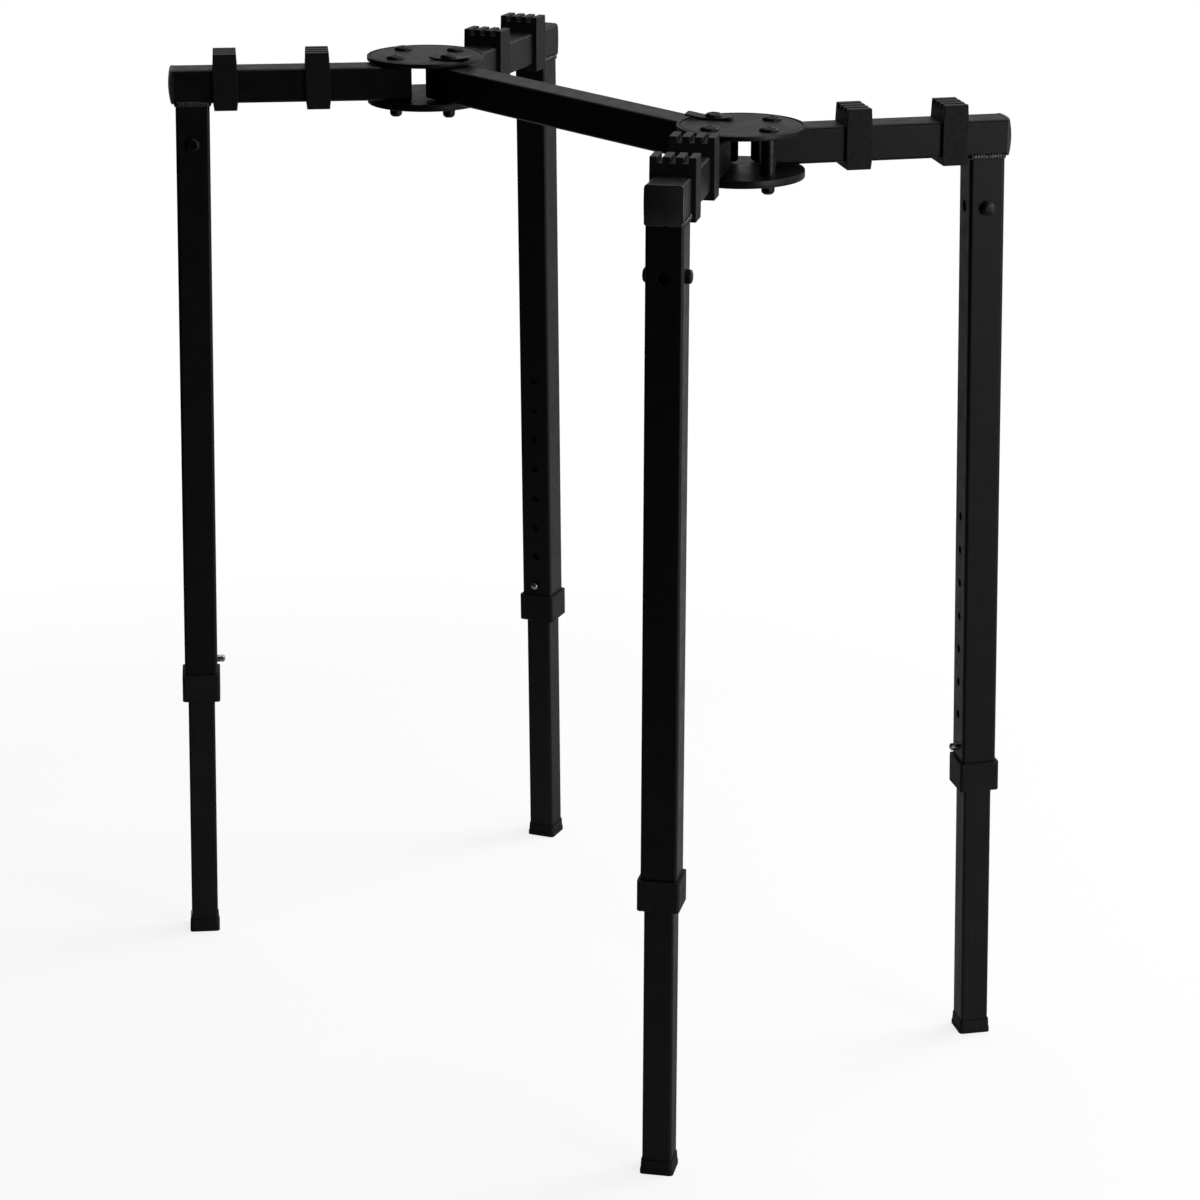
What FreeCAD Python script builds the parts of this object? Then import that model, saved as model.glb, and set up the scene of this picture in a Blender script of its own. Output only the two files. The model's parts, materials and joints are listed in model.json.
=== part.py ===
import FreeCAD, Part
import math
import os
import re

import Sketcher

# A four-legged folding keyboard stand. A square-tube beam joins two hubs of two round plates each. Every hub
# carries two arms that swing about upright bolts, and every arm carries a leg that telescopes.
# Lengths are in millimetres and angles in degrees. +Z is up, and the origin lies on the floor under the middle
# of the space that the stand takes up. X runs along the beam, from the left hub to the right one.

SIZES = {
    # the beam's place
    "beam_middle_x": -9.6,
    "beam_middle_y": -6.8,
    "tube_top_height": 1041.0,
    # square tube of the beam, the arms and the outer legs
    "tube_side": 38.0,
    "tube_wall": 1.8,
    "tube_corner_round": 3.5,
    "end_overhang": 17.4,
    # hubs
    "hub_span": 540.0,
    "bolt_circle_radius": 42.6,
    "plate_radius": 66.4,
    "plate_thickness": 5.0,
    "plate_edge_round": 1.3,
    "washer_radius": 12.0,
    "washer_thickness": 1.2,
    "running_gap": 0.1,
    "sleeve_radius": 7.0,
    "sleeve_fit": 0.08,
    "post_radius": 7.6,
    # hub bolts and their nuts
    "shank_radius": 4.0,
    "shank_clearance": 0.1,
    "bolt_head_radius": 10.0,
    "bolt_head_height": 3.9,
    "hex_socket_radius": 2.9,
    "hex_socket_depth": 2.0,
    "nut_corner_radius": 7.5,
    "nut_hex_height": 6.5,
    "nut_dome_radius": 6.2,
    "nut_dome_height": 8.5,
    "nut_thread_depth": 11.0,
    # wing levers: a long and a short wing, both bent up a little; angles are those of the long wing
    "wing_long_reach": 29.0,
    "wing_short_reach": 20.0,
    "wing_width": 20.0,
    "wing_flat_margin": 0.3,
    "wing_slope": 10.0,
    "wing_thickness": 2.2,
    "wing_end_round": 3.0,
    "left_wing_angle": 31.0,
    "right_wing_angle": 217.0,
    "wing_head_radius": 9.0,
    "wing_head_height": 3.8,
    # arms: angle between the beam's line and each arm
    "arm_reach": 228.2,
    "arm_end_overhang": 23.3,
    "left_arm_angle": 56.3,
    "rear_arm_angle": 61.8,
    "front_arm_angle": 50.9,
    "right_arm_angle": 62.8,
    # end caps
    "cap_overlap": 0.6,
    "cap_flange_thickness": 3.0,
    "cap_dome_height": 3.4,
    "cap_dome_fall": 2.2,
    "cap_plug_depth": 14.0,
    "cap_plug_wall": 2.0,
    "plug_clearance": 0.2,
    # grip sleeves
    "outer_grip_offset": 37.0,
    "inner_grip_reach": 87.6,
    "grip_width": 46.5,
    "grip_length": 27.5,
    "grip_end_length": 25.6,
    "grip_crown_height": 17.9,
    "grip_under_depth": 7.6,
    "grip_groove_count": 3,
    "grip_groove_width": 5.0,
    "grip_groove_depth": 6.2,
    "grip_edge_round": 0.7,
    "grip_fit": 0.1,
    # outer legs; heights on a leg are measured along it, from the floor
    "leg_lean": 1.1,
    "weld_gap": 0.05,
    "leg_tube_end_height": 299.0,
    "lowest_lock_rise": 42.3,
    "lock_pitch": 37.9,
    "lock_hole_count": 8,
    "lock_hole_radius": 4.75,
    "cross_bolt_drop": 93.0,
    "left_cross_bolt_rise": 9.4,
    "cross_hole_radius": 6.2,
    "cross_head_radius": 7.5,
    "cross_head_height": 4.9,
    # collars; they reach below and above the outer leg's end
    "collar_drop": 5.0,
    "collar_rise": 28.0,
    "collar_wall": 3.0,
    "collar_fit": 0.15,
    "collar_edge_round": 1.5,
    "slide_gap": 0.35,
    # inner legs
    "inner_side": 31.0,
    "inner_wall": 1.6,
    "inner_corner_round": 3.0,
    "travel_pitches": 6,
    "stop_gap": 2.0,
    "guide_flange_thickness": 4.0,
    "guide_plug_depth": 20.0,
    "guide_plug_wall": 2.5,
    # snap buttons and their springs
    "button_radius": 4.1,
    "button_fit": 0.1,
    "button_reach": 9.5,
    "button_tip_radius": 5.2,
    "button_flange_radius": 5.6,
    "button_flange_thickness": 1.5,
    "spring_leaf": 0.8,
    "spring_width": 9.0,
    "spring_rise": 45.0,
    "spring_pad_half": 8.0,
    "spring_gap": 0.1,
    # foot caps
    "foot_side": 35.2,
    "foot_corner_round": 4.0,
    "foot_flange_height": 4.8,
    "foot_sole": 4.0,
    "foot_height": 15.2,
    "foot_shoulder_inset": 0.5,
    "foot_rim_wall": 0.8,
    "foot_fit": 0.3,
    # what a cut reaches past the piece that it goes through
    "overrun": 1.0,
}

# how much of a domed head's height its upright rim takes
DOME_RIM_SHARE = 0.3

UP = FreeCAD.Vector(0, 0, 1)
ARMS = ("left", "rear", "front", "right")
NO_TURN = FreeCAD.Rotation()
ALONG_MINUS_X = FreeCAD.Rotation(FreeCAD.Vector(0, 1, 0), -90)
ALONG_PLUS_Y = FreeCAD.Rotation(FreeCAD.Vector(1, 0, 0), -90)
ALONG_MINUS_Y = FreeCAD.Rotation(FreeCAD.Vector(1, 0, 0), 90)
UPSIDE_DOWN = FreeCAD.Rotation(FreeCAD.Vector(1, 0, 0), 180)

doc = FreeCAD.newDocument("keyboard_stand")
sheet = doc.addObject("Spreadsheet::Sheet", "sizes")
for row, (alias, size) in enumerate(SIZES.items(), start=1):
    sheet.set(f"A{row}", alias)
    sheet.set(f"B{row}", str(size))
    sheet.setAlias(f"B{row}", alias)
doc.recompute()

pieces = []


def value(alias):
    """A size from the sheet, as a plain number."""
    return float(sheet.get(alias))


def formula(text):
    """The expression with the sheet's name put before each alias."""
    return re.sub(r"[a-z][a-z_]*", lambda word: f"sizes.{word[0]}" if word[0] in SIZES else word[0], text)


def bind(thing, **expressions):
    """Binds properties to expressions in the sheet's aliases. Two underscores stand for a dot."""
    for name, text in expressions.items():
        thing.setExpression(name.replace("__", "."), formula(text))


def place(thing, x="0", y="0", z="0", turn=NO_TURN):
    """Turns a primitive and binds its place."""
    thing.Placement = FreeCAD.Placement(FreeCAD.Vector(), turn)
    bind(thing, Placement__Base__x=x, Placement__Base__y=y, Placement__Base__z=z)
    return thing


def keep(thing, node, frame=None):
    """Marks an object as a sub-part, names it and puts it in its frame."""
    thing.Label = node
    if frame is not None:
        thing.Placement = frame
    pieces.append(thing)
    return thing


# Primitives and booleans

def cylinder(radius, height, **where):
    thing = doc.addObject("Part::Cylinder", "cylinder")
    bind(thing, Radius=radius, Height=height)
    return place(thing, **where)


def sphere(radius, **where):
    thing = doc.addObject("Part::Sphere", "sphere")
    bind(thing, Radius=radius)
    return place(thing, **where)


def box(length, width, height, **where):
    thing = doc.addObject("Part::Box", "box")
    bind(thing, Length=length, Width=width, Height=height)
    return place(thing, **where)


def hexagon(corner_radius, height, **where):
    thing = doc.addObject("Part::Prism", "hexagon")
    bind(thing, Circumradius=corner_radius, Height=height)
    return place(thing, **where)


def cut(base, *tools):
    thing = doc.addObject("Part::Cut", "cut")
    thing.Base = base
    thing.Tool = tools[0] if len(tools) == 1 else fuse(*tools)
    return thing


def fuse(*shapes):
    thing = doc.addObject("Part::MultiFuse", "fuse")
    thing.Shapes = list(shapes)
    return thing


def common(first, second):
    thing = doc.addObject("Part::MultiCommon", "common")
    thing.Shapes = [first, second]
    return thing


def group(shapes):
    """Several separate solids that share one node."""
    thing = doc.addObject("Part::Compound", "group")
    thing.Links = list(shapes)
    return thing


def dome(radius, height, turn=NO_TURN, x="0", y="0", z="0"):
    """A low round head that stands on its place and rises along its turned axis, with an upright rim."""
    crown = f"({height} * (1 - {DOME_RIM_SHARE}))"
    ball_radius = f"(({radius})^2 + {crown}^2) / (2 * {crown})"
    centre = {"x": x, "y": y, "z": z}
    for letter, share in zip("xyz", turn.multVec(UP)):
        if abs(share) > 0.5:
            centre[letter] += f" {'+' if share > 0 else '-'} ({height} - {ball_radius})"
    return common(cylinder(radius, height, turn=turn, x=x, y=y, z=z), sphere(ball_radius, turn=turn, **centre))


# Part design

def settle(*things):
    """Works out the shapes of a few objects without the rest of the document."""
    doc.recompute(list(things))


def new_body(base=None):
    body = doc.addObject("PartDesign::Body", "body")
    if base is not None:
        doc.recompute()
        body.BaseFeature = base
        doc.recompute()
    return body


def origin_feature(body, role):
    return next(feature for feature in body.Origin.OriginFeatures if feature.Role == role)


def new_sketch(body, plane, start="0"):
    sketch = body.newObject("Sketcher::SketchObject", "sketch")
    sketch.AttachmentSupport = (origin_feature(body, plane), [""])
    sketch.MapMode = "FlatFace"
    bind(sketch, AttachmentOffset__Base__z=start)
    return sketch


def square_sketch(body, plane, side, start="0"):
    """A square centred on the plane's own origin."""
    sketch = new_sketch(body, plane, start)
    half = value("tube_side") / 2
    corners = [FreeCAD.Vector(x, y) for x, y in ((-half, -half), (half, -half), (half, half), (-half, half))]
    for first, last in zip(corners, corners[1:] + corners[:1]):
        sketch.addGeometry(Part.LineSegment(first, last))
    for line in range(4):
        sketch.addConstraint(Sketcher.Constraint("Coincident", line, 2, (line + 1) % 4, 1))
        sketch.addConstraint(Sketcher.Constraint("Vertical" if line % 2 else "Horizontal", line))
    sketch.addConstraint(Sketcher.Constraint("Symmetric", 0, 1, 1, 2, -1, 1))
    for name, line in (("DistanceX", 0), ("DistanceY", 1)):
        index = sketch.addConstraint(Sketcher.Constraint(name, line, 1, line, 2, 2 * half))
        sketch.setExpression(f"Constraints[{index}]", formula(side))
    return sketch


def circle_sketch(body, plane, radius, across=None, along=None, start="0"):
    """A circle on the plane's own origin, or at named distances from it."""
    sketch = new_sketch(body, plane, start)
    sketch.addGeometry(Part.Circle(FreeCAD.Vector(), UP, value("shank_radius")))
    index = sketch.addConstraint(Sketcher.Constraint("Radius", 0, value("shank_radius")))
    sketch.setExpression(f"Constraints[{index}]", formula(radius))
    for name, distance, axis in (("DistanceX", across, -2), ("DistanceY", along, -1)):
        if distance is None:
            sketch.addConstraint(Sketcher.Constraint("PointOnObject", 0, 3, axis))
        else:
            index = sketch.addConstraint(Sketcher.Constraint(name, -1, 1, 0, 3, value("shank_radius")))
            sketch.setExpression(f"Constraints[{index}]", formula(distance))
    return sketch


def pad(body, sketch, length):
    feature = body.newObject("PartDesign::Pad", "pad")
    feature.Profile = sketch
    bind(feature, Length=length)
    settle(sketch, feature, body)
    return feature


def pocket(body, sketch, length=None, upwards=False):
    """Cuts against the sketch's normal, or with it if upwards; with no length it cuts through both ways."""
    before = body.Shape.Volume
    feature = body.newObject("PartDesign::Pocket", "pocket")
    feature.Profile = sketch
    if length is None:
        feature.SideType = "Symmetric"
        feature.Type = "ThroughAll"
    else:
        feature.Reversed = upwards
        bind(feature, Length=length)
    settle(sketch, feature, body)
    if body.Shape.Volume >= before:
        raise ValueError(f"a pocket in {body.Label} cuts nothing")
    return feature


def round_edges(body, radius, wanted):
    """Rounds the edges of the body's last feature for which wanted(edge) is true."""
    base = body.Tip
    names = [f"Edge{number}" for number, edge in enumerate(base.Shape.Edges, start=1) if wanted(edge)]
    feature = body.newObject("PartDesign::Fillet", "rounding")
    feature.Base = (base, names)
    bind(feature, Radius=radius)
    settle(feature, body)
    return feature


def edge_runs(edge, direction):
    """Whether a straight edge runs along the direction."""
    if edge.Curve.TypeId != "Part::GeomLine":
        return False
    return abs(abs(edge.tangentAt(edge.FirstParameter).dot(direction)) - 1) < 1e-6


def axis_distance(edge, axis):
    """How far the edge's middle lies from the axis."""
    middle = edge.valueAt((edge.FirstParameter + edge.LastParameter) / 2)
    return (middle - axis * middle.dot(axis)).Length


def is_corner(edge, axis, half):
    """Whether the edge runs along the axis, at a corner of a square of this half width about it."""
    return edge_runs(edge, axis) and math.isclose(axis_distance(edge, axis), math.hypot(half, half), rel_tol=1e-6)


def square_tube(plane, axis, side, wall, corner_round, start, length):
    """A square tube with rounded corners, along one axis of its body."""
    body = new_body()
    pad(body, square_sketch(body, plane, side, start), length)
    round_edges(body, corner_round, lambda edge: edge_runs(edge, axis))
    inside = f"{side} - 2 * {wall}"
    bore = square_sketch(body, plane, inside, f"{start} - overrun")
    pocket(body, bore, f"{length} + 2 * overrun", upwards=True)
    bore_half = value(side) / 2 - value(wall)
    round_edges(body, f"{corner_round} - {wall}", lambda edge: is_corner(edge, axis, bore_half))
    return body


def hollow_plug(body, plane, axis, bore, wall, depth, start="0"):
    """A hollow plug that goes back into a tube's end from the plane. bore gives the tube's side, wall and corner."""
    side = f"({bore[0]} - 2 * {bore[1]} - 2 * plug_clearance)"
    plug = pad(body, square_sketch(body, plane, side, start), depth)
    plug.Reversed = True
    settle(plug, body)
    half = value(bore[0]) / 2 - value(bore[1]) - value("plug_clearance")
    round_edges(body, f"{bore[2]} - {bore[1]}", lambda edge: is_corner(edge, axis, half))
    pocket(body, square_sketch(body, plane, f"{side} - 2 * {wall}", start), f"{depth} + overrun")


# Frames

def hub_centre(side, height, inwards=0.0):
    """The hub's axis at a height, or a point that far from the axis towards the beam's middle."""
    x_sign = -1 if side == "left" else 1
    x = value("beam_middle_x") + x_sign * (value("hub_span") / 2 - inwards)
    return FreeCAD.Vector(x, value("beam_middle_y"), height)


def hub_x(side):
    return f"beam_middle_x {'-' if side == 'left' else '+'} hub_span / 2"


def hub_points(side):
    """The four bolts of a hub as pairs of expressions: the beam's, both arms' and the spacer post's."""
    inwards, outwards = ("+", "-") if side == "left" else ("-", "+")
    middle = hub_x(side)
    return {
        "beam": (f"{middle} {inwards} bolt_circle_radius", "beam_middle_y"),
        "near_arm": (middle, "beam_middle_y - bolt_circle_radius"),
        "far_arm": (middle, "beam_middle_y + bolt_circle_radius"),
        "post": (f"{middle} {outwards} bolt_circle_radius", "beam_middle_y"),
    }


def arm_frame(arm):
    """Origin on the arm's pivot axis on the floor, local X along the arm, towards the leg."""
    x_sign = -1 if arm in ("left", "rear") else 1
    y_sign = -1 if arm in ("left", "front") else 1
    x = value("beam_middle_x") + x_sign * value("hub_span") / 2
    y = value("beam_middle_y") + y_sign * value("bolt_circle_radius")
    angle = math.radians(value(f"{arm}_arm_angle"))
    direction = FreeCAD.Vector(x_sign * math.cos(angle), y_sign * math.sin(angle), 0)
    turn = FreeCAD.Rotation(direction, UP.cross(direction), UP, "XZY")
    return FreeCAD.Placement(FreeCAD.Vector(x, y, 0), turn)


def along_arm(arm, x=0.0, z=0.0):
    return arm_frame(arm).multiply(FreeCAD.Placement(FreeCAD.Vector(x, 0, z), NO_TURN))


def weld_height():
    return value("tube_top_height") - value("tube_side")


def foot_offset():
    """How far from the pivot the leg's centre line meets the floor."""
    return value("arm_reach") + weld_height() * math.tan(math.radians(value("leg_lean")))


def leg_frame(arm):
    """Origin where the leg's centre line meets the floor, local Z up along the leaning leg."""
    lean = FreeCAD.Placement(FreeCAD.Vector(), FreeCAD.Rotation(FreeCAD.Vector(0, 1, 0), -value("leg_lean")))
    return along_arm(arm, foot_offset()).multiply(lean)


PLATE_GAP = "(tube_side + 2 * running_gap + 2 * washer_thickness)"
GAP_FLOOR = "(tube_top_height - tube_side - running_gap - washer_thickness)"
GAP_TOP = "(tube_top_height + running_gap + washer_thickness)"
LOCK_HEIGHT = "(leg_tube_end_height + lowest_lock_rise)"
COLLAR_BOTTOM = "(leg_tube_end_height - collar_drop)"


# Beam and hubs

def make_beam():
    half = "(hub_span / 2 - bolt_circle_radius + end_overhang)"
    axis = FreeCAD.Vector(1, 0, 0)
    body = square_tube("YZ_Plane", axis, "tube_side", "tube_wall", "tube_corner_round", f"-{half}", f"2 * {half}")
    hole = circle_sketch(body, "XY_Plane", "sleeve_radius + sleeve_fit", across="hub_span / 2 - bolt_circle_radius")
    bore = pocket(body, hole)
    mirror = body.newObject("PartDesign::Mirrored", "other_end")
    mirror.Originals = [bore]
    mirror.MirrorPlane = (origin_feature(body, "YZ_Plane"), [""])
    body.Tip = mirror
    settle(mirror, body)
    height = value("tube_top_height") - value("tube_side") / 2
    middle = FreeCAD.Vector(value("beam_middle_x"), value("beam_middle_y"), height)
    keep(body, "cross_beam", FreeCAD.Placement(middle, NO_TURN))


def make_hub_plate(side, level, height):
    """A round plate with a bolt hole at each quarter turn."""
    body = new_body()
    pad(body, circle_sketch(body, "XY_Plane", "plate_radius"), "plate_thickness")
    round_edges(body, "plate_edge_round", lambda edge: True)
    hole = circle_sketch(body, "XY_Plane", "shank_radius + shank_clearance", across="bolt_circle_radius")
    first = pocket(body, hole)
    pattern = body.newObject("PartDesign::PolarPattern", "bolt_holes")
    pattern.Originals = [first]
    pattern.Axis = (origin_feature(body, "Z_Axis"), [""])
    pattern.Occurrences = 4
    body.Tip = pattern
    settle(pattern, body)
    keep(body, f"{side}_{level}_plate", FreeCAD.Placement(hub_centre(side, height), NO_TURN))


def make_hub_plates():
    gap = value("running_gap") + value("washer_thickness")
    upper = value("tube_top_height") + gap
    lower = value("tube_top_height") - value("tube_side") - gap - value("plate_thickness")
    for side in ("left", "right"):
        make_hub_plate(side, "top", upper)
        make_hub_plate(side, "bottom", lower)


def ring(outer, inner, height, x, y, z):
    """A flat ring or a sleeve, standing on z."""
    hole = cylinder(inner, f"{height} + 2 * overrun", x=x, y=y, z=f"{z} - overrun")
    return cut(cylinder(outer, height, x=x, y=y, z=z), hole)


def make_washers():
    rings = []
    for side in ("left", "right"):
        for name, (x, y) in hub_points(side).items():
            if name == "post":
                continue
            for z in (GAP_FLOOR, f"({GAP_TOP} - washer_thickness)"):
                rings.append(ring("washer_radius", "sleeve_radius + sleeve_fit", "washer_thickness", x, y, z))
    keep(group(rings), "washers")


def make_pivot_sleeves():
    sleeves = []
    for side in ("left", "right"):
        for name, (x, y) in hub_points(side).items():
            if name != "post":
                sleeves.append(ring("sleeve_radius", "shank_radius + shank_clearance", PLATE_GAP, x, y, GAP_FLOOR))
    keep(group(sleeves), "pivot_sleeves")


def make_spacer_posts():
    posts = []
    for side in ("left", "right"):
        x, y = hub_points(side)["post"]
        posts.append(ring("post_radius", "shank_radius + shank_clearance", PLATE_GAP, x, y, GAP_FLOOR))
    keep(group(posts), "spacer_posts")


def bolt(x, y, under_head, head_radius, head_height, end):
    """An upright bolt: a low domed head with a hexagon socket, and a shank down to its end."""
    shank = cylinder("shank_radius", f"{under_head} - {end}", x=x, y=y, z=end)
    head = dome(head_radius, head_height, x=x, y=y, z=under_head)
    socket_floor = f"{under_head} + {head_height} - hex_socket_depth"
    socket = hexagon("hex_socket_radius", "hex_socket_depth + overrun", x=x, y=y, z=socket_floor)
    return cut(fuse(shank, head), socket)


SHANK_END = f"({GAP_FLOOR} - plate_thickness - nut_thread_depth + running_gap)"


def make_hub_bolts():
    bolts = []
    for side in ("left", "right"):
        for name, (x, y) in hub_points(side).items():
            if name != "beam":
                under_head = f"({GAP_TOP} + plate_thickness)"
                bolts.append(bolt(x, y, under_head, "bolt_head_radius", "bolt_head_height", SHANK_END))
    keep(group(bolts), "hub_bolts")


def dome_nut(x, y):
    """A dome nut that hangs under the bottom plate."""
    seat = f"{GAP_FLOOR} - plate_thickness"
    flats = hexagon("nut_corner_radius", "nut_hex_height", x=x, y=y, z=f"{seat} - nut_hex_height")
    cap = dome("nut_dome_radius", "nut_dome_height", x=x, y=y, z=f"{seat} - nut_hex_height", turn=UPSIDE_DOWN)
    depth = "nut_thread_depth + overrun"
    thread = cylinder("shank_radius + shank_clearance", depth, x=x, y=y, z=f"{seat} - nut_thread_depth")
    return cut(fuse(flats, cap), thread)


def make_dome_nuts():
    keep(group([dome_nut(x, y) for side in ("left", "right") for x, y in hub_points(side).values()]), "dome_nuts")


# Wing levers

def bent_strip(outline, width):
    """A bent strip: a closed outline in the local XZ plane, pulled to its width about that plane."""
    points = [FreeCAD.Vector(x, -width / 2, z) for x, z in outline]
    face = Part.Face(Part.makePolygon(points + points[:1]))
    return face.extrude(FreeCAD.Vector(0, width, 0))


def make_wing(side):
    """A strip that lies flat under its bolt's head and slopes up on both sides; local X is the long wing's."""
    x, y = hub_points(side)["beam"]
    flat = value("wing_head_radius") + value("wing_flat_margin")
    slope = math.tan(math.radians(value("wing_slope")))
    short, long = value("wing_short_reach"), value("wing_long_reach")
    thickness = value("wing_thickness")
    lower = [(-short, (short - flat) * slope), (-flat, 0), (flat, 0), (long, (long - flat) * slope)]
    upper = [(across, up + thickness) for across, up in reversed(lower)]
    strip = bent_strip(lower + upper, value("wing_width"))
    ends = [edge for edge in strip.Edges if edge_runs(edge, UP) and abs(edge.CenterOfMass.x) > flat]
    strip = strip.makeFillet(value("wing_end_round"), ends)
    bore = Part.makeCylinder(value("shank_radius") + value("shank_clearance"), 2 * thickness)
    lever = doc.addObject("Part::Feature", "wing")
    lever.Shape = strip.cut(bore)
    seat = value("tube_top_height") + value("running_gap") + value("washer_thickness") + value("plate_thickness")
    turn = FreeCAD.Rotation(UP, value(f"{side}_wing_angle"))
    place_at = hub_centre(side, seat + value("running_gap"), value("bolt_circle_radius"))
    keep(lever, f"{side}_wing_lever", FreeCAD.Placement(place_at, turn))
    under_head = f"({GAP_TOP} + plate_thickness + running_gap + wing_thickness)"
    clamp = bolt(x, y, under_head, "wing_head_radius", "wing_head_height", SHANK_END)
    keep(clamp, f"{side}_clamp_bolt")


# Arms

def make_arm_tube(arm):
    start = "-end_overhang"
    length = "(end_overhang + arm_reach + arm_end_overhang - cap_flange_thickness)"
    axis = FreeCAD.Vector(1, 0, 0)
    body = square_tube("YZ_Plane", axis, "tube_side", "tube_wall", "tube_corner_round", start, length)
    pocket(body, circle_sketch(body, "XY_Plane", "sleeve_radius + sleeve_fit"))
    height = value("tube_top_height") - value("tube_side") / 2
    keep(body, f"{arm}_arm_tube", along_arm(arm, 0, height))


def make_arm_cap(arm):
    """A plastic cap: a flange with a low round face on the tube's end, and a hollow plug inside the tube."""
    axis = FreeCAD.Vector(1, 0, 0)
    crown = "(cap_flange_thickness + cap_dome_height)"
    body = new_body()
    pad(body, square_sketch(body, "YZ_Plane", "tube_side + cap_overlap"), crown)
    round_edges(body, "tube_corner_round", lambda edge: edge_runs(edge, axis))
    tube = ("tube_side", "tube_wall", "tube_corner_round")
    hollow_plug(body, "YZ_Plane", axis, tube, "cap_plug_wall", "cap_plug_depth")
    ball_radius = "(((tube_side + cap_overlap)^2 / 4 + cap_dome_fall^2) / (2 * cap_dome_fall))"
    cap = common(body, sphere(ball_radius, x=f"{crown} - {ball_radius}"))
    height = value("tube_top_height") - value("tube_side") / 2
    end = value("arm_reach") + value("arm_end_overhang") - value("cap_flange_thickness")
    keep(cap, f"{arm}_arm_cap", along_arm(arm, end, height))


def tapered_block(base_length, end_length, base_z, height):
    """A block across the arm whose length along the arm shrinks from its base to its far end."""
    thing = doc.addObject("Part::Wedge", "taper")
    low_side = height.startswith("-")
    rise = height.lstrip("-")
    near, far = (end_length, base_length) if low_side else (base_length, end_length)
    bind(
        thing,
        Xmin=f"-({near}) / 2", Xmax=f"({near}) / 2", Zmin="-grip_width / 2", Zmax="grip_width / 2",
        X2min=f"-({far}) / 2", X2max=f"({far}) / 2", Z2min="-grip_width / 2", Z2max="grip_width / 2",
        Ymin="0", Ymax=rise,
    )
    bottom = f"{base_z} - {rise}" if low_side else base_z
    return place(thing, z=bottom, turn=FreeCAD.Rotation(FreeCAD.Vector(1, 0, 0), 90))


def grip_blank():
    """A rubber sleeve round the arm, with ridges along the arm on its crown. Its edges are still sharp."""
    corner = {"x": "-grip_length / 2", "y": "-grip_width / 2", "z": "-tube_side / 2"}
    middle = box("grip_length", "grip_width", "tube_side", **corner)
    crown = tapered_block("grip_length", "grip_end_length", "tube_side / 2", "grip_crown_height")
    under = tapered_block("grip_length", "grip_end_length", "-tube_side / 2", "-grip_under_depth")
    side = "(tube_side + 2 * grip_fit)"
    long = "(grip_length + 2 * overrun)"
    bore = box(long, side, side, x=f"-{long} / 2", y=f"-{side} / 2", z=f"-{side} / 2")
    grooves = []
    count = int(value("grip_groove_count"))
    pitch = f"((grip_width + grip_groove_width) / {count + 1})"
    floor_z = "tube_side / 2 + grip_crown_height - grip_groove_depth"
    for number in range(count):
        share = number - (count - 1) / 2
        y = f"{share} * {pitch} - grip_groove_width / 2"
        grooves.append(box(long, "grip_groove_width", "grip_groove_depth + overrun", x=f"-{long} / 2", y=y, z=floor_z))
    return cut(fuse(middle, crown, under), bore, *grooves)


def is_outside(edge, half):
    """Whether the edge's middle lies outside a square of this half width about the arm's line."""
    middle = edge.CenterOfMass
    return max(abs(middle.y), abs(middle.z)) > half


def make_grips(arm):
    sleeves = []
    height = value("tube_top_height") - value("tube_side") / 2
    for reach in (value("arm_reach") - value("outer_grip_offset"), value("inner_grip_reach")):
        body = new_body(grip_blank())
        bore_half = value("tube_side") / 2 + 2 * value("grip_fit")
        round_edges(body, "grip_edge_round", lambda edge: is_outside(edge, bore_half))
        body.Placement = FreeCAD.Placement(FreeCAD.Vector(reach, 0, height), NO_TURN)
        sleeves.append(body)
    keep(group(sleeves), f"{arm}_grips", arm_frame(arm))


# Outer legs

def cross_bolt_height(arm):
    rise = " + left_cross_bolt_rise" if arm == "left" else ""
    return f"(tube_top_height - cross_bolt_drop{rise})"


def make_leg_tube(arm):
    lean = "leg_lean * 1 deg"
    top = f"((tube_top_height - tube_side) / cos({lean}) - tube_side / 2 * tan({lean}) - weld_gap)"
    length = f"({top} - leg_tube_end_height)"
    axis = FreeCAD.Vector(0, 0, 1)
    tube = ("tube_side", "tube_wall", "tube_corner_round")
    body = square_tube("XY_Plane", axis, *tube, "leg_tube_end_height", length)
    pocket(body, circle_sketch(body, "YZ_Plane", "cross_hole_radius", along=cross_bolt_height(arm)))
    pocket(body, circle_sketch(body, "XZ_Plane", "shank_radius + shank_clearance", along=cross_bolt_height(arm)))
    lock_hole = pocket(body, circle_sketch(body, "YZ_Plane", "lock_hole_radius", along=LOCK_HEIGHT), "tube_side")
    pattern = body.newObject("PartDesign::LinearPattern", "lock_holes")
    pattern.Originals = [lock_hole]
    pattern.Direction = (origin_feature(body, "Z_Axis"), [""])
    bind(pattern, Length="lock_pitch * (lock_hole_count - 1)", Occurrences="lock_hole_count")
    body.Tip = pattern
    settle(pattern, body)
    keep(body, f"{arm}_leg_tube", leg_frame(arm))


def make_cross_bolt(arm):
    """A bolt across the leg with a round domed head on both sides; it stops the inner leg."""
    height = cross_bolt_height(arm)
    head = ("cross_head_radius", "cross_head_height")
    reach = f"(tube_side / 2 + {DOME_RIM_SHARE} * cross_head_height)"
    shank = cylinder("shank_radius", f"2 * {reach}", y=f"-{reach}", z=height, turn=ALONG_PLUS_Y)
    near = dome(*head, y="-tube_side / 2", z=height, turn=ALONG_MINUS_Y)
    far = dome(*head, y="tube_side / 2", z=height, turn=ALONG_PLUS_Y)
    keep(fuse(shank, near, far), f"{arm}_cross_bolt", leg_frame(arm))


def is_rim(edge, height, distance):
    """Whether the edge lies level at the height and farther from the leg's line than the distance."""
    level = math.isclose(edge.BoundBox.ZMin, height) and math.isclose(edge.BoundBox.ZMax, height)
    return level and axis_distance(edge, UP) > distance


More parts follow.
